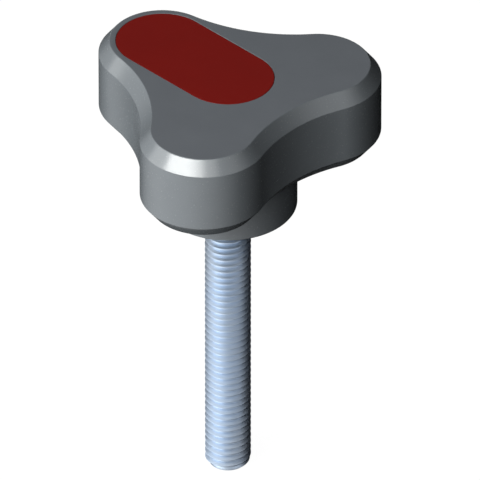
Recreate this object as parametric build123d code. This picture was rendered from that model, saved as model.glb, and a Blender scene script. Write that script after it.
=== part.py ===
from build123d import *
from math import cos, pi, radians, sin, sqrt, tan
import os

# Three-lobe clamping knob with a threaded stud, in millimetres.
# Z runs up the stud axis. Z = 0 is the hub's underside, which seats on the clamped part.
# The lobe that carries the cover points along +Y.

# Grip outline: round lobes joined by hollow flanks, every arc tangent to the next
LOBE_COUNT = 3
CAPPED_LOBE_ANGLE = 90.0
LOBE_CENTRE_RADIUS = 16.0
LOBE_TIP_RADIUS = 11.0
FLANK_RADIUS = 28.0

# Grip heights and edges
HEAD_HEIGHT = 26.0
GRIP_THICKNESS = 15.8
BEVEL_WIDTH = 1.9
BEVEL_HEIGHT = 2.5
EDGE_ROUND = 0.25

# Hub
HUB_DIAMETER = 24.0
HUB_EDGE_BEVEL = 0.3

# Cover, let in flush with the top face
CAP_RIM_WIDTH = 1.1
CAP_THICKNESS = 2.2
CAP_SIDE_CLEARANCE = 0.08
CAP_EDGE_BEVEL = 0.15
CAP_RING_WALL = 1.4
CAP_RING_CLEARANCE = 0.6
CAP_RING_HEIGHT = 3.5
PEG_DIAMETER = 5.0
PEG_LENGTH = 8.0
PEG_END_BEVEL = 0.5
PEG_RIB_COUNT = 4
PEG_RIB_WIDTH = 0.8
PEG_RIB_HEIGHT = 0.3
PEG_RIB_CLEARANCE = 0.02
PEG_HOLE_SPARE_DEPTH = 0.5

# Screw: M8 hexagon head, its rolled thread taken at the full diameter
THREAD_DIAMETER = 8.0
THREAD_PITCH = 1.25
PITCH_DIAMETER_SHARE = 0.6495
CORE_DIAMETER_SHARE = 1.2269
STUD_LENGTH = 55.0
SCREW_HEAD_HEIGHT = 5.3
HEX_SIDES = 6
SCREW_ACROSS_FLATS = 13.0
SCREW_CROWN_SHARE = 0.95
SCREW_CROWN_ANGLE = 30.0
HEX_SIDE_CLEARANCE = 0.06
SCREW_HOLE_CLEARANCE = 0.15

# Worked out from the sizes above
LOBE_STEP = 360.0 / LOBE_COUNT
CAP_END_RADIUS = LOBE_TIP_RADIUS - BEVEL_WIDTH - CAP_RIM_WIDTH
CAP_FLOOR = HEAD_HEIGHT - CAP_THICKNESS
SCREW_HEAD_TOP = CAP_FLOOR - CAP_RING_HEIGHT
SCREW_SEAT = SCREW_HEAD_TOP - SCREW_HEAD_HEIGHT
GRIP_UNDERSIDE = HEAD_HEIGHT - GRIP_THICKNESS
SHANK_DIAMETER = THREAD_DIAMETER - PITCH_DIAMETER_SHARE * THREAD_PITCH
THREAD_CORE_DIAMETER = THREAD_DIAMETER - CORE_DIAMETER_SHARE * THREAD_PITCH


def polar(radius, angle):
    """The point at this radius and this angle, in degrees from +X."""
    return Vector(radius * cos(radians(angle)), radius * sin(radians(angle)), 0)


def flank_centre_radius():
    """How far from the axis the centre of a flank arc lies, so that it is tangent to two lobes."""
    half_step = pi / LOBE_COUNT
    reach = LOBE_TIP_RADIUS + FLANK_RADIUS
    along = LOBE_CENTRE_RADIUS * cos(half_step)
    across = LOBE_CENTRE_RADIUS * sin(half_step)
    return along + sqrt(reach**2 - across**2)


def grip_outline():
    """The lobed outline of the grip as one face of tangent arcs."""
    flank_centre = flank_centre_radius()
    waist = flank_centre - FLANK_RADIUS
    tip = LOBE_CENTRE_RADIUS + LOBE_TIP_RADIUS
    arcs = []
    for index in range(LOBE_COUNT):
        angle = CAPPED_LOBE_ANGLE + index * LOBE_STEP
        lobe = polar(LOBE_CENTRE_RADIUS, angle)
        before = polar(flank_centre, angle - LOBE_STEP / 2)
        after = polar(flank_centre, angle + LOBE_STEP / 2)
        next_lobe = polar(LOBE_CENTRE_RADIUS, angle + LOBE_STEP)
        start = lobe + (before - lobe).normalized() * LOBE_TIP_RADIUS
        end = lobe + (after - lobe).normalized() * LOBE_TIP_RADIUS
        next_start = next_lobe + (after - next_lobe).normalized() * LOBE_TIP_RADIUS
        arcs.append(ThreePointArc(start, polar(tip, angle), end))
        arcs.append(ThreePointArc(end, polar(waist, angle + LOBE_STEP / 2), next_start))
    return make_face(arcs)


def grip_plate():
    """The lobed plate with its steep bevels, and a small round on each edge that a hand touches."""
    plate = Pos(0, 0, GRIP_UNDERSIDE) * extrude(grip_outline(), GRIP_THICKNESS)
    for end in (-1, 0):
        face = plate.faces().sort_by(Axis.Z)[end]
        plate = chamfer(face.edges(), BEVEL_WIDTH, BEVEL_HEIGHT, reference=face)
    rims = plate.edges().filter_by(Plane.XY)
    return fillet(rims - rims.group_by(Axis.Z)[0], EDGE_ROUND)


def stadium(end_radius):
    """The cover's outline: half rounds about the knob's axis and about the lobe's centre."""
    slot = SlotCenterToCenter(LOBE_CENTRE_RADIUS, 2 * end_radius, rotation=CAPPED_LOBE_ANGLE)
    return Pos(polar(LOBE_CENTRE_RADIUS / 2, CAPPED_LOBE_ANGLE)) * slot


def over_capped_lobe(height):
    """The place at this height on the axis of the lobe that carries the cover."""
    return Pos(0, 0, height) * Pos(polar(LOBE_CENTRE_RADIUS, CAPPED_LOBE_ANGLE))


def hexagon(across_flats):
    """A hexagon with two flats facing along Y."""
    return RegularPolygon(across_flats / 2, HEX_SIDES, major_radius=False)


def knob_body():
    """The moulded grip and hub, with everything that is let into it."""
    hub = Cylinder(HUB_DIAMETER / 2, CAP_FLOOR, align=(Align.CENTER, Align.CENTER, Align.MIN))
    hub = chamfer(hub.edges().sort_by(Axis.Z)[0], HUB_EDGE_BEVEL)
    recess = Pos(0, 0, CAP_FLOOR) * extrude(stadium(CAP_END_RADIUS + CAP_SIDE_CLEARANCE), CAP_THICKNESS)
    pocket_size = SCREW_ACROSS_FLATS + 2 * HEX_SIDE_CLEARANCE
    pocket = Pos(0, 0, SCREW_SEAT) * extrude(hexagon(pocket_size), HEAD_HEIGHT - SCREW_SEAT)
    hole_radius = THREAD_DIAMETER / 2 + SCREW_HOLE_CLEARANCE
    screw_hole = Cylinder(hole_radius, HEAD_HEIGHT, align=(Align.CENTER, Align.CENTER, Align.MIN))
    peg_hole_depth = PEG_LENGTH + PEG_HOLE_SPARE_DEPTH
    peg_hole = over_capped_lobe(CAP_FLOOR) * Cylinder(
        PEG_DIAMETER / 2, peg_hole_depth, align=(Align.CENTER, Align.CENTER, Align.MAX)
    )
    return grip_plate() + hub - recess - pocket - screw_hole - peg_hole


def cover_cap():
    """The cover with its ribbed press-in peg and the ring that holds the screw head down."""
    plate = Pos(0, 0, CAP_FLOOR) * extrude(stadium(CAP_END_RADIUS), CAP_THICKNESS)
    plate = chamfer(plate.faces().sort_by(Axis.Z)[-1].edges(), CAP_EDGE_BEVEL)
    ring_radius = SCREW_ACROSS_FLATS / 2 - CAP_RING_CLEARANCE
    ring = Circle(ring_radius) - Circle(ring_radius - CAP_RING_WALL)
    ring = Pos(0, 0, SCREW_HEAD_TOP) * extrude(ring, CAP_RING_HEIGHT)
    return plate + ring + over_capped_lobe(CAP_FLOOR) * ribbed_peg()


def ribbed_peg():
    """The peg hangs down from Z = 0. Its ribs take up the hole's moulding tolerance."""
    rib_radius = PEG_DIAMETER / 2 - PEG_RIB_CLEARANCE
    core = Circle(rib_radius - PEG_RIB_HEIGHT)
    ribs = PolarLocations(0, PEG_RIB_COUNT) * Rectangle(
        rib_radius, PEG_RIB_WIDTH, align=(Align.MIN, Align.CENTER)
    )
    section = Circle(rib_radius) & (core + ribs)
    peg = extrude(section, -PEG_LENGTH)
    lead_in = Cylinder(rib_radius, PEG_LENGTH, align=(Align.CENTER, Align.CENTER, Align.MAX))
    lead_in = chamfer(lead_in.edges().sort_by(Axis.Z)[0], PEG_END_BEVEL)
    return peg & lead_in


def hex_screw():
    """The hexagon head screw, from its crowned head to the bevelled end of its thread."""
    head = Pos(0, 0, SCREW_SEAT) * extrude(hexagon(SCREW_ACROSS_FLATS), SCREW_HEAD_HEIGHT)
    corner_radius = SCREW_ACROSS_FLATS / 2 / cos(pi / HEX_SIDES)
    crown_width = corner_radius - SCREW_CROWN_SHARE * SCREW_ACROSS_FLATS / 2
    crown = Pos(0, 0, SCREW_SEAT) * Cylinder(
        corner_radius, SCREW_HEAD_HEIGHT, align=(Align.CENTER, Align.CENTER, Align.MIN)
    )
    crown_face = crown.faces().sort_by(Axis.Z)[-1]
    crown = chamfer(
        crown_face.edges(),
        crown_width,
        crown_width * tan(radians(SCREW_CROWN_ANGLE)),
        reference=crown_face,
    )
    shank = Cylinder(SHANK_DIAMETER / 2, SCREW_SEAT, align=(Align.CENTER, Align.CENTER, Align.MIN))
    thread = Cylinder(THREAD_DIAMETER / 2, STUD_LENGTH, align=(Align.CENTER, Align.CENTER, Align.MAX))
    tip_bevel = (THREAD_DIAMETER - THREAD_CORE_DIAMETER) / 2
    thread = chamfer(thread.edges().sort_by(Axis.Z)[0], tip_bevel)
    return (head & crown) + shank + thread


PIECES = {
    "knob_body": knob_body,
    "cover_cap": cover_cap,
    "hex_screw": hex_screw,
}

os.makedirs("parts", exist_ok=True)
for name, build in PIECES.items():
    export_step(build(), f"parts/{name}.step")
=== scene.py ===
"""Three-lobe clamping knob with a threaded stud: its dressed pieces, its studio and its camera.

Sizes are in millimetres, as on a drawing, and MeshMaker turns them into Blender's metres. Z runs up the
stud's axis, Z = 0 is the hub's underside, and the lobe that carries the cover points along +Y.
"""

import logging
import math
from dataclasses import dataclass, field, replace
from enum import Enum
from functools import partial
from typing import Callable, Sequence

import bmesh
import bpy
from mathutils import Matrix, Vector
from mathutils.geometry import tessellate_polygon


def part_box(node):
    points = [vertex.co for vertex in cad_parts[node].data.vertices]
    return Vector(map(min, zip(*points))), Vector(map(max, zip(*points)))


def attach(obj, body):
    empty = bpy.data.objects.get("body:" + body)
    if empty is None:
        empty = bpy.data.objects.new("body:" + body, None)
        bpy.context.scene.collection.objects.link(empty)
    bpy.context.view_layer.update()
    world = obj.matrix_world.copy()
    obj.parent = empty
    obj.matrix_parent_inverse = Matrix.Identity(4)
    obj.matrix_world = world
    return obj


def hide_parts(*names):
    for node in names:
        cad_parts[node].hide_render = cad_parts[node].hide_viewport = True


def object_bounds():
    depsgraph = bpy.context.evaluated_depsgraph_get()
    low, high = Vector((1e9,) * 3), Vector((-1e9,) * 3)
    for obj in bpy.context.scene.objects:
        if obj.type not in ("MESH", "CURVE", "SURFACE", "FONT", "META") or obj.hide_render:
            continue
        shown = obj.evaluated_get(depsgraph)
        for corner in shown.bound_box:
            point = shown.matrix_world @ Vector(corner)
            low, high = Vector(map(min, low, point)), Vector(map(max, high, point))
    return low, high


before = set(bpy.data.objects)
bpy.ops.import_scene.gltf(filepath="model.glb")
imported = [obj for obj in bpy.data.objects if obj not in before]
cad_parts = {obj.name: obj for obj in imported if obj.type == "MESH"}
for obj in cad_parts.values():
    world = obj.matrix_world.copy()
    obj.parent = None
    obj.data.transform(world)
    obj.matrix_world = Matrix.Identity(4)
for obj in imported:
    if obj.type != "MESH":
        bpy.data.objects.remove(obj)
cad_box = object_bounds()

LOG = logging.getLogger("three_lobe_knob")
MM = 0.001
BODY = "root"
WHITE = "#FFFFFF"
# Points closer than this, in millimetres, become one
MERGE_DISTANCE = 0.0002
# Edges that turn by more than this, in degrees, are shaded sharp
SHARP_ANGLE = 38.0
# How far a point that only gives a profile's first or last direction lies from its corner
LEAD = 1.0
# The range that a noise texture's values seldom leave
NOISE_LOW = 0.3
NOISE_HIGH = 0.7
# The colour sockets of a Mix node, whose names its other types share
MIX_A = 6
MIX_B = 7
MIX_RESULT = 2

Point = tuple[float, float]
Colour = tuple[float, float, float, float]
Ring = list[bmesh.types.BMVert]


class Part(Enum):
    """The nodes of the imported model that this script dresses."""

    KNOB_BODY = "knob_body"
    COVER_CAP = "cover_cap"
    HEX_SCREW = "hex_screw"


class Slot(Enum):
    """The record's material slots."""

    GRIP_PLASTIC = "grip_plastic"
    COVER_PLASTIC = "cover_plastic"
    ZINC_PLATED_STEEL = "zinc_plated_steel"


def node_top(part: Part) -> float:
    """The height of a node's highest point, in millimetres."""
    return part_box(part.value)[1].z / MM


def node_bottom(part: Part) -> float:
    """The height of a node's lowest point, in millimetres."""
    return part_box(part.value)[0].z / MM


def linear(hex_colour: str) -> Colour:
    """Turn an sRGB hex value into the linear colour that a shader takes.

    Args:
        hex_colour: Six hex digits after a hash sign.

    Returns:
        Red, green, blue and an alpha of 1.
    """
    channels = [int(hex_colour[i : i + 2], 16) / 255 for i in (1, 3, 5)]
    red, green, blue = (c / 12.92 if c <= 0.04045 else ((c + 0.055) / 1.055) ** 2.4 for c in channels)
    return red, green, blue, 1.0


def add_node(
    tree: bpy.types.NodeTree, kind: str, inputs: dict[str | int, object], **settings: object
) -> bpy.types.Node:
    """Add a node with its settings and links.

    Args:
        tree: The tree that the node goes into.
        kind: The node's type.
        inputs: For each input, by name or number, its value or the socket that feeds it.
        **settings: The node's own properties.

    Returns:
        The new node.
    """
    node = tree.nodes.new(kind)
    for name, value in settings.items():
        setattr(node, name, value)
    for key, value in inputs.items():
        if isinstance(value, bpy.types.NodeSocket):
            tree.links.new(value, node.inputs[key])
        else:
            node.inputs[key].default_value = value
    return node


def spread(noise: bpy.types.Node, middle: float, share: float) -> dict[str | int, object]:
    """What a Map Range node needs to turn a noise into values on both sides of a middle.

    Args:
        noise: The noise texture's node.
        middle: The value in the middle.
        share: How far the values reach to either side of it.

    Returns:
        The Map Range node's inputs.
    """
    return {
        "Value": noise.outputs["Fac"],
        "From Min": NOISE_LOW,
        "From Max": NOISE_HIGH,
        "To Min": middle - share,
        "To Max": middle + share,
    }


def empty_material(name: str) -> bpy.types.Material:
    """Make a material with an empty node tree.

    Args:
        name: The material's name.

    Returns:
        The material.
    """
    material = bpy.data.materials.new(name)
    material.use_nodes = True
    material.node_tree.nodes.clear()
    return material


def add_object(data: bpy.types.ID) -> bpy.types.Object:
    """Make an object and link it to the scene.

    Args:
        data: Its mesh, lamp or camera, whose name it takes.

    Returns:
        The object.
    """
    made = bpy.data.objects.new(data.name, data)
    bpy.context.scene.collection.objects.link(made)
    return made


def direction(azimuth: float, elevation: float) -> Vector:
    """The way from the knob to this azimuth, which is 0 at -Y, and this elevation, both in degrees."""
    around, up = math.radians(azimuth), math.radians(elevation)
    return Vector((math.sin(around) * math.cos(up), -math.cos(around) * math.cos(up), math.sin(up)))


def polar(radius: float, angle: float, centre: Point = (0.0, 0.0)) -> Point:
    """The point at this distance from a centre and at this angle, in degrees from +X."""
    turn = math.radians(angle)
    return centre[0] + radius * math.cos(turn), centre[1] + radius * math.sin(turn)


def circle(radius: float, count: int, centre: Point = (0.0, 0.0)) -> list[Point]:
    """This many evenly spaced points round a circle, anticlockwise from +X."""
    return [polar(radius, 360 * step / count, centre) for step in range(count)]


def arc(centre: Point, radius: float, start: float, end: float, steps: int) -> list[Point]:
    """This many points along an arc, from its start to just short of its end, both in degrees."""
    return [polar(radius, start + (end - start) * step / steps, centre) for step in range(steps)]


def hexagon(across_flats: float, count: int) -> list[Point]:
    """Points round a hexagon with two flats facing along Y.

    Args:
        across_flats: The distance between two opposite flats.
        count: How many points it gets, a multiple of 6.

    Returns:
        Points at even angles, anticlockwise from the corner on +X.
    """
    half = across_flats / 2
    angles = [360 * step / count for step in range(count)]
    return [polar(half / math.cos(math.radians(angle % 60 - 30)), angle) for angle in angles]


def rounded_corners(points: Sequence[Point], radii: Sequence[float], steps: int = 4) -> list[Point]:
    """Round the corners of a profile with tangent arcs.

    Args:
        points: The profile's sharp corners, with a point before the first and one after the last
            that only give the directions in which the profile starts and ends.
        radii: The radius at each corner, 0 for one that stays sharp.
        steps: How many facets each arc has.

    Returns:
        The points of the arcs and of the sharp corners.
    """
    rounded: list[Point] = []
    for before, corner, after, radius in zip(points, points[1:], points[2:], radii):
        if radius == 0:
            rounded.append(corner)
            continue
        here = Vector(corner)
        back = (Vector(before) - here).normalized()
        ahead = (Vector(after) - here).normalized()
        half = back.angle(ahead) / 2
        centre = here + (back + ahead).normalized() * radius / math.sin(half)
        first = here + back * radius / math.tan(half) - centre
        last = here + ahead * radius / math.tan(half) - centre
        start, turn = math.atan2(first.y, first.x), first.angle_signed(last)
        for step in range(steps + 1):
            angle = start - turn * step / steps
            rounded.append((centre.x + radius * math.cos(angle), centre.y + radius * math.sin(angle)))
    return rounded


class MeshMaker:
    """Builds a mesh in millimetres from rings of points and the faces between them."""

    def __init__(self) -> None:
        """Start an empty mesh."""
        self.mesh = bmesh.new()

    def ring(self, points: Sequence[Point], height: float) -> Ring:
        """Place an outline's points at one height, and give their vertices in the same order."""
        return [self.mesh.verts.new((x, y, height)) for x, y in points]

    def wall(self, rings: Sequence[Ring]) -> None:
        """Join each ring to the next with a band of four-sided faces.

        Args:
            rings: Rings of equal length, in order.
        """
        for lower, upper in zip(rings, rings[1:]):
            for i, vertex in enumerate(lower):
                after = (i + 1) % len(lower)
                self.mesh.faces.new((vertex, lower[after], upper[after], upper[i]))

    def stack(self, outline: Callable[[float], list[Point]], profile: Sequence[Point]) -> list[Ring]:
        """Place an outline once for each point of a profile, and join these rings with a wall.

        Args:
            outline: Gives the outline at a radius or an inset.
            profile: For each ring, that radius or inset and its height.

        Returns:
            The rings, in the profile's order.
        """
        rings = [self.ring(outline(size), height) for size, height in profile]
        self.wall(rings)
        return rings

    def flat(self, outline: Ring, holes: Sequence[Ring] = (), finish: int = 0) -> None:
        """Close a flat outline, with any holes left open.

        Args:
            outline: The outer ring.
            holes: Rings inside it.
            finish: Which of the piece's materials these faces take, counted from 0.
        """
        rings = [outline, *holes]
        vertices = [vertex for ring in rings for vertex in ring]
        faces = [range(len(outline))]
        if holes:
            faces = tessellate_polygon([[vertex.co for vertex in ring] for ring in rings])
        for corners in faces:
            self.mesh.faces.new([vertices[i] for i in corners]).material_index = finish

    def data(self, name: str) -> bpy.types.Mesh:
        """Turn what was built into mesh data in metres.

        Args:
            name: The data's name.

        Returns:
            The data.
        """
        bmesh.ops.scale(self.mesh, vec=(MM, MM, MM), verts=self.mesh.verts)
        data = bpy.data.meshes.new(name)
        self.mesh.to_mesh(data)
        self.mesh.free()
        return data

    def piece(self, name: str) -> bpy.types.Object:
        """Turn the mesh into a smooth-shaded object in metres, after a test that it is closed.

        Args:
            name: The new object's name.

        Returns:
            The object, linked to the scene.

        Raises:
            ValueError: If the mesh has an open or doubled edge.
        """
        bmesh.ops.remove_doubles(self.mesh, verts=self.mesh.verts, dist=MERGE_DISTANCE)
        bmesh.ops.recalc_face_normals(self.mesh, faces=self.mesh.faces)
        loose = [edge for edge in self.mesh.edges if len(edge.link_faces) != 2]
        if loose:
            raise ValueError(f"{name} has {len(loose)} edges that don't join two faces")
        data = self.data(name)
        data.shade_smooth()
        data.set_sharp_from_angle(angle=math.radians(SHARP_ANGLE))
        made = add_object(data)
        weighted = made.modifiers.new("flat_faces_stay_flat", "WEIGHTED_NORMAL")
        weighted.keep_sharp = True
        return made


@dataclass(frozen=True)
class MouldedPolyamide:
    """Injection-moulded polyamide with a spark-eroded mould texture.

    To the eye it is an even satin: no sharp reflections, a soft bright band where light rakes it, and a
    faint grain. The glass fibre in it clouds the colour very slightly.
    """

    name: str
    colour: str
    roughness: float
    specular_level: float
    # The real grain is about 0.1 mm. It is drawn coarser, so that it still shows.
    grain_mm: float = 0.3
    grain_depth_mm: float = 0.004
    cloud_mm: float = 6.0
    cloud_share: float = 0.03
    roughness_spread: float = 0.03
    ior: float = 1.53

    def material(self) -> bpy.types.Material:
        """Make the finish.

        Returns:
            A material with its grain and its clouding.
        """
        material = empty_material(self.name)
        add = partial(add_node, material.node_tree)
        place = add("ShaderNodeTexCoord", {}).outputs["Object"]
        grain = add(
            "ShaderNodeTexNoise",
            {"Vector": place, "Scale": 1 / (self.grain_mm * MM), "Detail": 3.0, "Roughness": 0.6},
        )
        clouds = add(
            "ShaderNodeTexNoise",
            {"Vector": place, "Scale": 1 / (self.cloud_mm * MM), "Detail": 4.0, "Roughness": 0.55},
        )
        shade = add("ShaderNodeMapRange", spread(clouds, 1.0, self.cloud_share))
        tint = add(
            "ShaderNodeHueSaturation", {"Value": shade.outputs["Result"], "Color": linear(self.colour)}
        )
        dullness = add("ShaderNodeMapRange", spread(grain, self.roughness, self.roughness_spread))
        bump = add(
            "ShaderNodeBump",
            {"Height": grain.outputs["Fac"], "Strength": 1.0, "Distance": self.grain_depth_mm * MM},
        )
        shader = add(
            "ShaderNodeBsdfPrincipled",
            {
                "Base Color": tint.outputs["Color"],
                "Roughness": dullness.outputs["Result"],
                "IOR": self.ior,
                "Specular IOR Level": self.specular_level,
                "Normal": bump.outputs["Normal"],
            },
        )
        add("ShaderNodeOutputMaterial", {"Surface": shader.outputs["BSDF"]})
        return material


@dataclass(frozen=True)
class ZincPlatedSteel:
    """Cold-headed, thread-rolled steel with electroplated zinc and a clear blue passivation.

    To the eye it is a pale, cool, half-dull metal. The plating's crystals blur reflections, the
    passivation's thickness drifts between blue and a hint of straw, and rolling left fine rings.
    """

    name: str = "zinc_plated_steel_blue_passivated"
    colour: str = "#CADBF0"
    straw: str = "#D2DCE8"
    # The drift's value where straw begins, the value where there is most of it, and its share there
    straw_from: float = 0.45
    straw_to: float = 0.75
    straw_share: float = 0.6
    roughness: float = 0.44
    roughness_spread: float = 0.05
    drift_mm: float = 7.0
    # Real crystals are a few thousandths of a millimetre. They are drawn at this size, so that they show.
    crystal_mm: float = 0.35
    # Rolling marks are about 0.05 mm apart. They are drawn at this size, the finest that still shows.
    ring_mm: float = 0.25
    ring_length_mm: float = 9.0
    ring_depth_mm: float = 0.0015

    def material(self) -> bpy.types.Material:
        """Make the finish.

        Returns:
            A material with its passivation colours, crystals and rolling marks.
        """
        material = empty_material(self.name)
        add = partial(add_node, material.node_tree)
        place = add("ShaderNodeTexCoord", {}).outputs["Object"]
        drift = add(
            "ShaderNodeTexNoise", {"Vector": place, "Scale": 1 / (self.drift_mm * MM), "Detail": 2.0}
        )
        share = add(
            "ShaderNodeMapRange",
            {
                "Value": drift.outputs["Fac"],
                "From Min": self.straw_from,
                "From Max": self.straw_to,
                "To Min": 0.0,
                "To Max": self.straw_share,
            },
        )
        colour = add(
            "ShaderNodeMix",
            {"Factor": share.outputs["Result"], MIX_A: linear(self.colour), MIX_B: linear(self.straw)},
            data_type="RGBA",
        )
        crystals = add(
            "ShaderNodeTexNoise",
            {"Vector": place, "Scale": 1 / (self.crystal_mm * MM), "Detail": 3.0, "Roughness": 0.6},
        )
        dullness = add("ShaderNodeMapRange", spread(crystals, self.roughness, self.roughness_spread))
        along = 1 / (self.ring_length_mm * MM)
        stretched = add(
            "ShaderNodeVectorMath",
            {0: place, 1: (along, along, 1 / (self.ring_mm * MM))},
            operation="MULTIPLY",
        )
        rings = add(
            "ShaderNodeTexNoise", {"Vector": stretched.outputs["Vector"], "Scale": 1.0, "Detail": 2.0}
        )
        bump = add(
            "ShaderNodeBump",
            {"Height": rings.outputs["Fac"], "Strength": 1.0, "Distance": self.ring_depth_mm * MM},
        )
        shader = add(
            "ShaderNodeBsdfPrincipled",
            {
                "Base Color": colour.outputs[MIX_RESULT],
                "Metallic": 1.0,
                "Roughness": dullness.outputs["Result"],
                "Normal": bump.outputs["Normal"],
            },
        )
        add("ShaderNodeOutputMaterial", {"Surface": shader.outputs["BSDF"]})
        return material


GRIP_FINISH = MouldedPolyamide(
    name="glass_filled_polyamide_spark_eroded", colour="#5C6064", roughness=0.25, specular_level=0.6
)
# The flat top is eroded coarser, so it stays matt where light rakes it; its darker colour is painted shade
GRIP_TOP_MATT_SHADED_FINISH = replace(
    GRIP_FINISH,
    name="glass_filled_polyamide_matt_top_painted_shade",
    # A darker copy of the sides' colour: painted shade on the top
    colour="#56595E",
    roughness=0.6,
    specular_level=0.12,
)
COVER_FINISH = MouldedPolyamide(
    name="polyamide_moulded_matt_red",
    colour="#640F0B",
    roughness=0.6,
    specular_level=0.08,
    grain_mm=0.25,
    grain_depth_mm=0.002,
)
SCREW_FINISH = ZincPlatedSteel()


def dress(
    piece: bpy.types.Object, part: Part, slot: Slot, *materials: bpy.types.Material
) -> bpy.types.Object:
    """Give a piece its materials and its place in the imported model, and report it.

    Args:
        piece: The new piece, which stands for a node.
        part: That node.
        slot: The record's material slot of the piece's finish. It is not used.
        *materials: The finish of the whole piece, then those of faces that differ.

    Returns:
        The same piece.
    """
    for material in materials:
        piece.data.materials.append(material)
    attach(piece, BODY)
    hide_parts(part.value)
    low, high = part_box(part.value)
    corners = [Vector(corner) for corner in piece.bound_box]
    apart = max(
        max(abs(min(c[axis] for c in corners) - low[axis]), abs(max(c[axis] for c in corners) - high[axis]))
        for axis in range(3)
    )
    faces, look = len(piece.data.polygons), materials[0].name
    LOG.info("%s: %d faces, %s, box within %.3f mm of %s", piece.name, faces, look, apart / MM, part.value)
    return piece


@dataclass
class CoverSeat:
    """What the grip and its cover share: the recess, the pocket under it and the hole for the peg."""

    lobe_centre_radius: float = 16.0
    end_radius: float = 8.0
    thickness: float = 2.2
    peg_diameter: float = 5.0
    peg_length: float = 8.0
    end_steps: int = 48
    peg_steps: int = 48
    top: float = field(default_factory=lambda: node_top(Part.COVER_CAP))

    @property
    def floor(self) -> float:
        """The height of the recess's floor, on which the cover lies."""
        return self.top - self.thickness

    @property
    def peg_centre(self) -> Point:
        """Where the peg's axis stands: on the axis of the covered lobe."""
        return 0.0, self.lobe_centre_radius

    def outline(self, radius: float) -> list[Point]:
        """The cover's outline: half rounds about the lobe's axis and the knob's.

        Args:
            radius: The radius of both half rounds.

        Returns:
            The points, anticlockwise.
        """
        far_end = arc(self.peg_centre, radius, 0, 180, self.end_steps)
        far_end.append((-radius, self.lobe_centre_radius))
        near_end = arc((0.0, 0.0), radius, 180, 360, self.end_steps)
        near_end.append((radius, 0.0))
        return far_end + near_end


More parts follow.
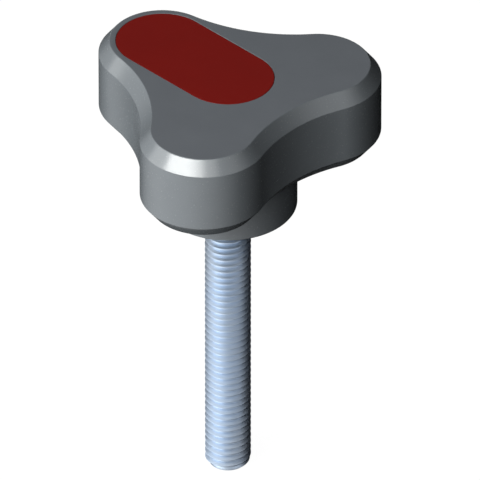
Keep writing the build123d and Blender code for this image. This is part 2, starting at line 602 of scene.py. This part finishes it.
@dataclass
class Grip:
    """The moulded grip and hub, with the recess, the hex pocket and the holes let into it."""

    seat: CoverSeat
    lobe_count: int = 3
    covered_lobe_angle: float = 90.0
    lobe_tip_radius: float = 11.0
    flank_radius: float = 28.0
    grip_thickness: float = 15.8
    bevel_width: float = 1.9
    bevel_height: float = 2.5
    edge_round: float = 0.25
    hub_radius: float = 12.0
    hub_edge_round: float = 0.3
    hub_root_round: float = 0.4
    recess_clearance: float = 0.08
    recess_edge_round: float = 0.04
    pocket_across_flats: float = 13.12
    pocket_floor: float = 15.0
    screw_hole_radius: float = 4.15
    screw_hole_edge_round: float = 0.25
    peg_hole_spare_depth: float = 0.5
    # Which of the grip's materials its flat top takes, counted from 0
    top_finish: int = 1
    tip_steps: int = 60
    flank_steps: int = 22
    round_steps: int = 144
    pocket_steps: int = 72
    top: float = field(default_factory=lambda: node_top(Part.KNOB_BODY))

    @property
    def underside(self) -> float:
        """The height of the grip's underside, where the hub leaves it."""
        return self.top - self.grip_thickness

    def outline(self, inset: float) -> list[Point]:
        """The lobed outline, moved inwards by this much.

        Args:
            inset: How far inside the grip's widest outline the points lie.

        Returns:
            Points along tangent arcs, tips and flanks in turn, anticlockwise.
        """
        half_step = 180 / self.lobe_count
        centre_radius = self.seat.lobe_centre_radius
        reach = self.lobe_tip_radius + self.flank_radius
        along, across = polar(centre_radius, half_step)
        flank_centre = along + math.sqrt(reach**2 - across**2)
        ahead, aside = polar(flank_centre, half_step)
        turn = math.degrees(math.atan2(aside, ahead - centre_radius))
        half_flank = turn - half_step
        points: list[Point] = []
        for lobe in range(self.lobe_count):
            angle = self.covered_lobe_angle + 2 * half_step * lobe
            facing = angle + half_step + 180
            tip = polar(centre_radius, angle)
            hollow = polar(flank_centre, angle + half_step)
            points += arc(tip, self.lobe_tip_radius - inset, angle - turn, angle + turn, self.tip_steps)
            points += arc(
                hollow, self.flank_radius + inset, facing + half_flank, facing - half_flank, self.flank_steps
            )
        return points

    def dressed(self) -> bpy.types.Object:
        """The finished grip, eroded all over and coarser on its flat top, which has painted shade."""
        materials = GRIP_FINISH.material(), GRIP_TOP_MATT_SHADED_FINISH.material()
        return dress(self.build(), Part.KNOB_BODY, Slot.GRIP_PLASTIC, *materials)

    def build(self) -> bpy.types.Object:
        """Build the whole moulding as one closed mesh.

        Returns:
            The grip, hub, recess, pocket and holes in one piece.
        """
        maker = MeshMaker()
        rim = self.rim(maker)
        hub = self.hub(maker)
        recess = self.recess(maker)
        maker.flat(rim[0], [recess[0]], self.top_finish)
        maker.flat(rim[-1], [hub[0]])
        self.hole_and_pocket(maker, hub[-1], recess[-1])
        return maker.piece("grip_moulding")

    def rim(self, maker: MeshMaker) -> list[Ring]:
        """Build the wall round the lobes with both steep bevels and their small rounds.

        Args:
            maker: Where the faces go.

        Returns:
            Its rings, from the top down.
        """
        profile = [
            (2 * self.bevel_width, self.top),
            (self.bevel_width, self.top),
            (0.0, self.top - self.bevel_height),
            (0.0, self.underside + self.bevel_height),
            (self.bevel_width, self.underside),
            (2 * self.bevel_width, self.underside),
        ]
        rounds = [self.edge_round] * (len(profile) - 2)
        return maker.stack(self.outline, rounded_corners(profile, rounds))

    def hub(self, maker: MeshMaker) -> list[Ring]:
        """Build the hub's side and its end face.

        Args:
            maker: Where the faces go.

        Returns:
            Their rings, from the grip's underside to the screw hole's edge.
        """
        profile = [
            (self.hub_radius + LEAD, self.underside),
            (self.hub_radius, self.underside),
            (self.hub_radius, 0.0),
            (self.screw_hole_radius, 0.0),
            (self.screw_hole_radius, self.pocket_floor),
        ]
        rounds = [self.hub_root_round, self.hub_edge_round, self.screw_hole_edge_round]
        return maker.stack(partial(circle, count=self.round_steps), rounded_corners(profile, rounds))

    def recess(self, maker: MeshMaker) -> list[Ring]:
        """Build the recess's wall.

        Args:
            maker: Where the faces go.

        Returns:
            Its rings, from the round at its rim down to its floor.
        """
        end, floor = self.seat.end_radius + self.recess_clearance, self.seat.floor
        profile = [(end + LEAD, self.top), (end, self.top), (end, floor), (end - LEAD, floor)]
        return maker.stack(self.seat.outline, rounded_corners(profile, [self.recess_edge_round, 0.0]))

    def hole_and_pocket(self, maker: MeshMaker, hole_edge: Ring, floor_edge: Ring) -> None:
        """Build the screw hole, the hex pocket, the recess's floor and the peg's blind hole.

        Args:
            maker: Where the faces go.
            hole_edge: The screw hole's lowest ring.
            floor_edge: The recess's lowest ring.
        """
        hole_top = maker.ring(circle(self.screw_hole_radius, self.round_steps), self.pocket_floor)
        maker.wall([hole_edge, hole_top])
        flats = hexagon(self.pocket_across_flats, self.pocket_steps)
        pocket_bottom = maker.ring(flats, self.pocket_floor)
        pocket_top = maker.ring(flats, self.seat.floor)
        maker.flat(pocket_bottom, [hole_top])
        maker.wall([pocket_bottom, pocket_top])
        bore = circle(self.seat.peg_diameter / 2, self.seat.peg_steps, self.seat.peg_centre)
        bore_depth = self.seat.peg_length + self.peg_hole_spare_depth
        bore_top = maker.ring(bore, self.seat.floor)
        bore_bottom = maker.ring(bore, self.seat.floor - bore_depth)
        maker.wall([bore_bottom, bore_top])
        maker.flat(bore_bottom)
        maker.flat(floor_edge, [pocket_top, bore_top])


@dataclass
class Cover:
    """The cover plate, with the ring that holds the screw down and the ribbed press-in peg."""

    seat: CoverSeat
    edge_round: float = 0.06
    ring_radius: float = 5.9
    ring_wall: float = 1.4
    ring_height: float = 3.5
    rib_count: int = 4
    rib_width: float = 0.8
    rib_height: float = 0.3
    rib_clearance: float = 0.02
    peg_end_bevel: float = 0.5
    ring_steps: int = 72
    rib_steps: int = 4
    core_steps: int = 8

    def peg_outline(self, most: float) -> list[Point]:
        """The peg's ribbed outline, cut to a largest radius.

        Args:
            most: The radius that no point passes.

        Returns:
            Points round the peg's axis, anticlockwise.
        """
        rib_radius = self.seat.peg_diameter / 2 - self.rib_clearance
        core_radius = rib_radius - self.rib_height
        rib_half = math.degrees(math.asin(self.rib_width / 2 / rib_radius))
        root_half = math.degrees(math.asin(self.rib_width / 2 / core_radius))
        top, core = min(rib_radius, most), min(core_radius, most)
        centre = self.seat.peg_centre
        step = 360 / self.rib_count
        points: list[Point] = []
        for rib in range(self.rib_count):
            angle = rib * step
            points += arc(centre, top, angle - rib_half, angle + rib_half, self.rib_steps)
            points.append(polar(top, angle + rib_half, centre))
            points += arc(centre, core, angle + root_half, angle + step - root_half, self.core_steps)
            points.append(polar(core, angle + step - root_half, centre))
        return points

    def dressed(self) -> bpy.types.Object:
        """The finished cover, in matt red."""
        return dress(self.build(), Part.COVER_CAP, Slot.COVER_PLASTIC, COVER_FINISH.material())

    def build(self) -> bpy.types.Object:
        """Build the cover as one closed mesh.

        Returns:
            The plate, ring and peg in one piece.
        """
        maker = MeshMaker()
        end, top, floor = self.seat.end_radius, self.seat.top, self.seat.floor
        profile = [(end - LEAD, top), (end, top), (end, floor), (end - LEAD, floor)]
        edge = maker.stack(self.seat.outline, rounded_corners(profile, [self.edge_round, 0.0]))
        maker.flat(edge[0])
        maker.flat(edge[-1], [self.hold_down_ring(maker), self.peg(maker)])
        return maker.piece("cover_plate")

    def hold_down_ring(self, maker: MeshMaker) -> Ring:
        """Build the ring that presses on the screw's head, closed at its inside.

        Args:
            maker: Where the faces go.

        Returns:
            Its outer edge on the plate's underside.
        """
        outer, inner = self.ring_radius, self.ring_radius - self.ring_wall
        base, foot = self.seat.floor, self.seat.floor - self.ring_height
        profile = [(outer, base), (outer, foot), (inner, foot), (inner, base)]
        rings = maker.stack(partial(circle, count=self.ring_steps), profile)
        maker.flat(rings[-1])
        return rings[0]

    def peg(self, maker: MeshMaker) -> Ring:
        """Build the ribbed peg with its bevelled end.

        Args:
            maker: Where the faces go.

        Returns:
            Its outline on the plate's underside.
        """
        tip = self.seat.floor - self.seat.peg_length
        rib_radius = self.seat.peg_diameter / 2 - self.rib_clearance
        profile = [
            (rib_radius, self.seat.floor),
            (rib_radius, tip + self.peg_end_bevel),
            (rib_radius - self.rib_height, tip + self.peg_end_bevel - self.rib_height),
            (rib_radius - self.peg_end_bevel, tip),
        ]
        rings = maker.stack(self.peg_outline, profile)
        maker.flat(rings[-1])
        return rings[0]


@dataclass
class HexScrew:
    """The M8 hexagon head screw: crowned head, plain shank inside the hub and rolled right-hand thread."""

    head_seat: float = 15.0
    head_height: float = 5.3
    across_flats: float = 13.0
    crown_share: float = 0.95
    crown_angle: float = 30.0
    thread_diameter: float = 8.0
    pitch: float = 1.25
    pitch_diameter_share: float = 0.6495
    core_diameter_share: float = 1.2269
    root_radius_share: float = 0.1443
    flank_angle: float = 30.0
    crest_share: float = 1 / 8
    crest_round: float = 0.03
    steps: int = 72
    # Turns past both ends of the thread, which fold into its tip and its run-out
    spare_turns: int = 3
    tip: float = field(default_factory=lambda: node_bottom(Part.HEX_SCREW))

    @property
    def crest_radius(self) -> float:
        """The thread's largest radius."""
        return self.thread_diameter / 2

    @property
    def core_radius(self) -> float:
        """The radius at the bottom of the thread's groove."""
        return (self.thread_diameter - self.core_diameter_share * self.pitch) / 2

    @property
    def shank_radius(self) -> float:
        """The radius of the blank that the thread is rolled from."""
        return (self.thread_diameter - self.pitch_diameter_share * self.pitch) / 2

    def thread_profile(self) -> list[Point]:
        """One pitch of the thread, from the middle of a groove to just short of the next.

        Returns:
            How far along the axis each point lies, and its radius.
        """
        root_round = self.root_radius_share * self.pitch
        crest = self.pitch / 2
        half_crest = self.crest_share * self.pitch / 2
        root_turn = math.radians(90 - self.flank_angle)
        rising = [
            (root_round * math.sin(turn), self.core_radius + root_round * (1 - math.cos(turn)))
            for turn in (0.0, root_turn / 2, root_turn)
        ]
        fall = self.crest_round / math.tan(math.radians(self.flank_angle))
        rising.append((crest - half_crest - self.crest_round, self.crest_radius - fall))
        rising.append((crest - half_crest + self.crest_round, self.crest_radius))
        falling = [(self.pitch - along, radius) for along, radius in reversed(rising[1:])]
        return rising + falling

    def thread_point(self, along: float, radius: float, angle: float) -> Vector:
        """One point of the thread, held inside the bevelled tip and faded out into the shank.

        Args:
            along: Its height on an endless thread.
            radius: Its radius there.
            angle: Its angle round the axis, in degrees.

        Returns:
            The point.
        """
        height = min(max(along, self.tip), self.pitch)
        radius = min(radius, self.core_radius + height - self.tip)
        fade = max(height, 0.0) / self.pitch
        radius += (self.shank_radius - radius) * fade
        return Vector((*polar(radius, angle), height))

    def thread(self, maker: MeshMaker) -> None:
        """Build the thread as one continuous helix of faces, open at both ends.

        Each column of points runs along the screw. The last column meets the first one pitch higher up.

        Args:
            maker: Where the faces go.
        """
        profile = self.thread_profile()
        turns = math.ceil((self.pitch - self.tip) / self.pitch) + self.spare_turns
        columns = []
        for step in range(self.steps):
            start = self.tip - self.pitch + self.pitch * step / self.steps
            angle = 360 * step / self.steps
            columns.append(
                [
                    maker.mesh.verts.new(self.thread_point(start + turn * self.pitch + along, radius, angle))
                    for turn in range(turns)
                    for along, radius in profile
                ]
            )
        columns.append(columns[0][len(profile) :])
        for left, right in zip(columns, columns[1:]):
            for i in range(len(right) - 1):
                maker.mesh.faces.new((left[i], right[i], right[i + 1], left[i + 1]))

    def dressed(self) -> bpy.types.Object:
        """The finished screw, plated and passivated."""
        return dress(self.build(), Part.HEX_SCREW, Slot.ZINC_PLATED_STEEL, SCREW_FINISH.material())

    def build(self) -> bpy.types.Object:
        """Build the screw as one closed mesh.

        Returns:
            The thread, shank and head in one piece.
        """
        maker = MeshMaker()
        self.thread(maker)
        maker.flat(maker.ring(circle(self.core_radius, self.steps), self.tip))
        top = self.head_seat + self.head_height
        crown_radius = self.crown_share * self.across_flats / 2
        drop = math.tan(math.radians(self.crown_angle))
        flats = hexagon(self.across_flats, self.steps)
        shoulder = [
            maker.mesh.verts.new((x, y, top - (math.hypot(x, y) - crown_radius) * drop)) for x, y in flats
        ]
        rings = [
            maker.ring(circle(self.shank_radius, self.steps), self.pitch),
            maker.ring(circle(self.shank_radius, self.steps), self.head_seat),
            maker.ring(flats, self.head_seat),
            shoulder,
            maker.ring(circle(crown_radius, self.steps), top),
        ]
        maker.wall(rings)
        maker.flat(rings[-1])
        return maker.piece("threaded_screw")


@dataclass
class PhotoCamera:
    """The camera, placed by where the photograph shows the centre of the knob's top face.

    The photograph has no perspective. This long lens has a little, so the scale and the pixel are those
    that keep most edges within a pixel of their place, and the farthest off, at the stud's tip, within 3.
    """

    azimuth: float = -45.0
    elevation: float = math.degrees(math.atan(1 / math.sqrt(2)))
    lens: float = 1600.0
    sensor: float = 36.0
    picture_pixels: int = 480
    pixels_per_mm: float = 5.82
    top_centre_pixel: Point = (227.35, 76.95)
    # In metres
    clip_start: float = 0.1
    clip_end: float = 50.0

    def build(self) -> None:
        """Place the camera and make it the scene's own."""
        back = direction(self.azimuth, self.elevation)
        right = direction(self.azimuth + 90, 0.0)
        up = back.cross(right)
        middle = (self.picture_pixels - 1) / 2
        top_centre = Vector((0.0, 0.0, node_top(Part.KNOB_BODY)))
        across = (middle - self.top_centre_pixel[0]) / self.pixels_per_mm
        down = (middle - self.top_centre_pixel[1]) / self.pixels_per_mm
        target = top_centre + right * across - up * down
        distance = self.lens * self.picture_pixels / (self.sensor * self.pixels_per_mm)
        data = bpy.data.cameras.new("photo_camera")
        data.lens, data.sensor_width = self.lens, self.sensor
        data.clip_start, data.clip_end = self.clip_start, self.clip_end
        camera = add_object(data)
        camera.location = (target + back * distance) * MM
        camera.rotation_mode = "QUATERNION"
        camera.rotation_quaternion = (-back).to_track_quat("-Z", "Y")
        bpy.context.scene.camera = camera


# The diffusers' cloth passes a little less red and blue than green
LAMP_COLOUR = "#FDFFFD"


class Flag(Enum):
    """What the flags in front of a lamp keep its light off."""

    NOTHING = "nothing"
    METAL = "metal"
    PLASTIC = "plastic"


@dataclass(frozen=True)
class SoftBox:
    """A lamp with a diffuser that faces the knob. Its radiance is what a mirror would show of it."""

    name: str
    azimuth: float
    elevation: float
    distance: float
    width: float
    height: float
    radiance: float
    flag: Flag = Flag.NOTHING
    # Whether surfaces mirror the lamp. Polarising sheets keep its reflection out of the picture.
    mirrored: bool = True

    def build(self, target: Vector, lit: dict[Flag, bpy.types.Collection]) -> None:
        """Place the lamp.

        Args:
            target: The point that it faces, in metres.
            lit: For each flag, what the lamp still lights.
        """
        away = direction(self.azimuth, self.elevation)
        data = bpy.data.lights.new(self.name, "AREA")
        data.shape, data.size, data.size_y = "RECTANGLE", self.width, self.height
        data.energy = self.radiance * math.pi * self.width * self.height
        data.color = linear(LAMP_COLOUR)[:3]
        lamp = add_object(data)
        lamp.location = target + away * self.distance
        lamp.rotation_mode = "QUATERNION"
        lamp.rotation_quaternion = away.to_track_quat("Z", "Y")
        lamp.visible_camera = False
        lamp.visible_glossy = self.mirrored
        if self.flag in lit:
            lamp.light_linking.receiver_collection = lit[self.flag]


# Each lamp's name, azimuth, elevation, distance, width, height and radiance, in degrees and metres
SOFT_BOXES = (
    SoftBox("key_strip", -80.5, 38.0, 0.6, 0.66, 0.095, 23.5, Flag.METAL),
    SoftBox("front_lamp", -37.5, 38.0, 0.6, 0.3, 0.13, 3.2, Flag.METAL),
    SoftBox("high_left_lamp", -165.0, 65.0, 0.8, 0.3, 0.3, 3.3, Flag.METAL),
    SoftBox("low_front_lamp", -89.0, 2.0, 0.6, 0.3, 0.3, 12.5, Flag.METAL, mirrored=False),
    SoftBox("side_lamp", -127.5, 18.5, 0.6, 0.46, 0.46, 2.8, Flag.METAL),
    SoftBox("stud_lamp", -114.0, 6.0, 0.6, 1.0, 0.36, 2.2, Flag.PLASTIC),
    SoftBox("back_lamp", 142.0, 2.0, 0.8, 0.5, 0.16, 3.0),
    SoftBox("back_fill_lamp", 125.0, 5.0, 0.6, 0.3, 0.3, 4.5, Flag.METAL, mirrored=False),
)


@dataclass(frozen=True)
class Drape:
    """Glowing cloth, seen only in reflections: it paints what surfaces mirror, from white to dark."""

    name: str
    first_azimuth: float
    last_azimuth: float
    # How far from the axis and how far above the floor each edge of its section lies, in metres
    section: tuple[Point, ...]
    # From which azimuth to which its painted reflection fades from white to black, or None where it is
    # evenly dim
    reflection_ramp: tuple[float, float] | None = None
    # The glow of an even cloth: a painted dim reflection
    dark: float = 0.45
    steps: int = 24

    def material(self) -> bpy.types.Material:
        """Make the cloth's glow, a painted reflection from white to black round the knob or evenly dim.

        Returns:
            Its material.
        """
        material = empty_material("graded_painted_reflection_cloth" if self.reflection_ramp else "even_painted_reflection_cloth")
        material.cycles.emission_sampling = "NONE"
        add = partial(add_node, material.node_tree)
        shade: bpy.types.NodeSocket | float = self.dark
        if self.reflection_ramp:
            place = add("ShaderNodeTexCoord", {}).outputs["Object"]
            turn = add("ShaderNodeTexGradient", {"Vector": place}, gradient_type="RADIAL")
            # The gradient runs from 0 to 1, anticlockwise from -X, and azimuth 0 lies at -Y
            white, black = ((azimuth - 90) / 360 + 0.5 for azimuth in self.reflection_ramp)
            reflection_level = add(
                "ShaderNodeMapRange",
                {
                    "Value": turn.outputs["Fac"],
                    "From Min": white,
                    "From Max": black,
                    "To Min": 1.0,
                    "To Max": 0.0,
                },
            )
            shade = reflection_level.outputs["Result"]
        # The cloth glows although it is no lamp: its glow paints reflections
        cloth = add("ShaderNodeEmission", {"Color": linear(WHITE), "Strength": shade})
        add("ShaderNodeOutputMaterial", {"Surface": cloth.outputs[0]})
        return material

    def build(self, floor_height: float) -> None:
        """Hang the cloth.

        Args:
            floor_height: The floor's height, in metres.
        """
        points = []
        for step in range(self.steps + 1):
            azimuth = self.first_azimuth + (self.last_azimuth - self.first_azimuth) * step / self.steps
            for radius, height in self.section:
                points.append((*polar(radius, azimuth - 90), floor_height + height))
        count = len(self.section)
        faces = [
            (first, first + 1, first + count + 1, first + count)
            for step in range(self.steps)
            for first in range(step * count, (step + 1) * count - 1)
        ]
        data = bpy.data.meshes.new(self.name)
        data.from_pydata(points, [], faces)
        data.materials.append(self.material())
        hang(data)


def hang(data: bpy.types.Mesh) -> None:
    """Put a cloth or card on the set where only reflections see it.

    Args:
        data: Its mesh, whose name it takes.
    """
    dark = add_object(data)
    dark.visible_camera = False
    dark.visible_diffuse = False
    dark.visible_shadow = False


@dataclass(frozen=True)
class DarkCard:
    """A dark card cut to the grip's outline and held under it: a painted dark reflection on the lower bevel.

    Its sizes are in millimetres.
    """

    # The card's faint glow, which paints the lower bevel's reflection dark
    brightness: float = 0.01
    outer_inset: float = 0.75
    inner_radius: float = 13.0
    below_grip: float = 0.2

    def build(self, grip: Grip) -> None:
        """Cut the card and hold it under the grip.

        Args:
            grip: The grip that it is cut to.
        """
        maker = MeshMaker()
        height = grip.underside - self.below_grip
        outer = maker.ring(grip.outline(self.outer_inset), height)
        inner = maker.ring(circle(self.inner_radius, grip.round_steps), height)
        maker.flat(outer, [inner])
        data = maker.data("card_under_grip")
        data.materials.append(self.material())
        hang(data)

    def material(self) -> bpy.types.Material:
        """Make the card's faint glow, which paints a dark reflection.

        Returns:
            Its material.
        """
        material = empty_material("painted_dark_reflection_card")
        material.cycles.emission_sampling = "NONE"
        add = partial(add_node, material.node_tree)
        card = add("ShaderNodeEmission", {"Color": linear(WHITE), "Strength": self.brightness})
        add("ShaderNodeOutputMaterial", {"Surface": card.outputs[0]})
        return material


# The cloths that meet the stud start under the bevel of its tip and slope up from the floor
TIP_SECTION = ((0.0031, 0.00005), (0.004, 0.0002))
NEAR_SECTION = ((0.004, 0.0002), (0.008, 0.002), (0.074, 0.002))

# Each cloth's name, first and last azimuth, section and the azimuths of its painted reflection's fade
DRAPES = (
    Drape("tip_right_cloth", -90.0, 135.0, TIP_SECTION, (-111.0, -41.0)),
    Drape("tip_left_cloth", 135.0, 270.0, TIP_SECTION, (291.0, 221.0)),
    Drape("near_right_cloth", -90.0, 135.0, NEAR_SECTION, (-90.0, -10.0)),
    Drape("near_left_cloth", 135.0, 270.0, NEAR_SECTION, (185.0, 130.0)),
    Drape("hub_cloth", -90.0, 135.0, ((0.074, 0.002), (0.09, 0.002)), (-45.0, 45.0)),
    Drape("right_cloth", -90.0, 135.0, ((0.09, 0.002), (1.5, 0.002)), (-60.0, 10.0)),
    Drape("left_cloth", 135.0, 270.0, ((0.074, 0.002), (0.25, 0.002)), (240.0, 186.0)),
    Drape("far_left_cloth", 135.0, 270.0, ((0.25, 0.002), (1.5, 0.002)), (232.0, 172.0)),
    Drape("low_wall_cloth", 0.0, 175.0, ((1.5, 0.002), (1.5, 0.6)), (0.0, 20.0)),
    Drape("high_wall_cloth", 0.0, 175.0, ((1.5, 0.6), (1.5, 2.0)), (17.0, 47.0)),
    Drape("ceiling_cloth", -60.0, 175.0, ((1.5, 2.0), (0.9, 2.4), (0.15, 2.5)), (-50.0, 10.0)),
    Drape("camera_side_cloth", -90.0, 0.0, ((1.5, 0.002), (1.5, 1.0))),
    Drape("left_side_cloth", 175.0, 270.0, ((1.5, 0.002), (1.5, 1.0))),
)


@dataclass
class Studio:
    """A white sweep without a horizon, soft lamps, and drapes out of the picture that paint reflections."""

    # In metres
    floor_size: float = 4.0
    floor_glow: float = 0.97
    floor_colour: str = "#404040"
    world_fill: float = 0.05
    lamps: tuple[SoftBox, ...] = SOFT_BOXES
    drapes: tuple[Drape, ...] = DRAPES
    card: DarkCard = DarkCard()

    def background_rays(self, add: Callable[..., bpy.types.Node]) -> bpy.types.NodeSocket:
        """Tell the rays that show the background from those that light the knob.

        Args:
            add: Adds a node to the tree of the material or world that asks.

        Returns:
            One for a ray from the camera, a reflection or a transmission, and nothing for other rays.
        """
        rays = add("ShaderNodeLightPath", {})
        seen = rays.outputs["Is Camera Ray"]
        for kind in ("Is Glossy Ray", "Is Transmission Ray"):
            either = add(
                "ShaderNodeMath", {0: seen, 1: rays.outputs[kind]}, operation="ADD", use_clamp=True
            )
            seen = either.outputs["Value"]
        return seen

    def world(self) -> None:
        """White where it is seen, and an even dim fill where it lights the knob."""
        world = bpy.data.worlds.new("studio_surround")
        world.use_nodes = True
        world.cycles.sampling_method = "NONE"
        world.node_tree.nodes.clear()
        add = partial(add_node, world.node_tree)
        seen = self.background_rays(add)
        strength = add("ShaderNodeMapRange", {"Value": seen, "To Min": self.world_fill, "To Max": 1.0})
        background = add(
            "ShaderNodeBackground", {"Color": linear(WHITE), "Strength": strength.outputs["Result"]}
        )
        add("ShaderNodeOutputWorld", {"Surface": background.outputs["Background"]})
        bpy.context.scene.world = world

    def floor_material(self) -> bpy.types.Material:
        """Make white seamless paper that keeps the knob's shadow, and is clear from below.

        Returns:
            Its material.
        """
        material = empty_material("seamless_white_paper")
        material.cycles.emission_sampling = "NONE"
        add = partial(add_node, material.node_tree)
        seen = self.background_rays(add)
        strength = add("ShaderNodeMapRange", {"Value": seen, "To Min": 0.0, "To Max": self.floor_glow})
        glow = add("ShaderNodeEmission", {"Color": linear(WHITE), "Strength": strength.outputs["Result"]})
        paper = add("ShaderNodeBsdfDiffuse", {"Color": linear(self.floor_colour)})
        front = add("ShaderNodeAddShader", {0: glow.outputs[0], 1: paper.outputs[0]})
        clear = add("ShaderNodeBsdfTransparent", {})
        side = add("ShaderNodeNewGeometry", {}).outputs["Backfacing"]
        both = add("ShaderNodeMixShader", {0: side, 1: front.outputs[0], 2: clear.outputs[0]})
        add("ShaderNodeOutputMaterial", {"Surface": both.outputs[0]})
        return material

    def floor(self) -> None:
        """The sheet of paper under the stud's tip."""
        half = self.floor_size / 2
        height = node_bottom(Part.HEX_SCREW) * MM
        data = bpy.data.meshes.new("paper_floor")
        corners = [(x * half, y * half, height) for x, y in ((-1, -1), (1, -1), (1, 1), (-1, 1))]
        data.from_pydata(corners, [], [range(len(corners))])
        data.materials.append(self.floor_material())
        floor = add_object(data)

    def build(self, grip: Grip, bright_metal: bpy.types.Object) -> None:
        """Set up the surround, the floor, the lamps, the drapes and the card.

        Args:
            grip: The grip, which the card under it is cut to.
            bright_metal: The piece that most lamps are flagged off, because they would burn it out.
        """
        self.world()
        self.floor()
        flags = (Flag.METAL, Flag.PLASTIC)
        lit = {flag: bpy.data.collections.new(f"lit_past_{flag.value}_flag") for flag in flags}
        for collection in lit.values():
            collection.objects.link(bright_metal)
        lit[Flag.METAL].collection_objects[0].light_linking.link_state = "EXCLUDE"
        low, high = cad_box
        for lamp in self.lamps:
            lamp.build((low + high) / 2, lit)
        for drape in self.drapes:
            drape.build(low.z)
        self.card.build(grip)


def main() -> None:
    """Build the camera, the knob's pieces and the studio, and report each piece."""
    logging.basicConfig(level=logging.INFO, format="%(name)s: %(message)s")
    bpy.context.scene.view_settings.view_transform = "Standard"
    PhotoCamera().build()
    seat = CoverSeat()
    grip = Grip(seat)
    screw = HexScrew().dressed()
    grip.dressed()
    Cover(seat).dressed()
    Studio().build(grip, screw)


if __name__ == "__main__":
    main()
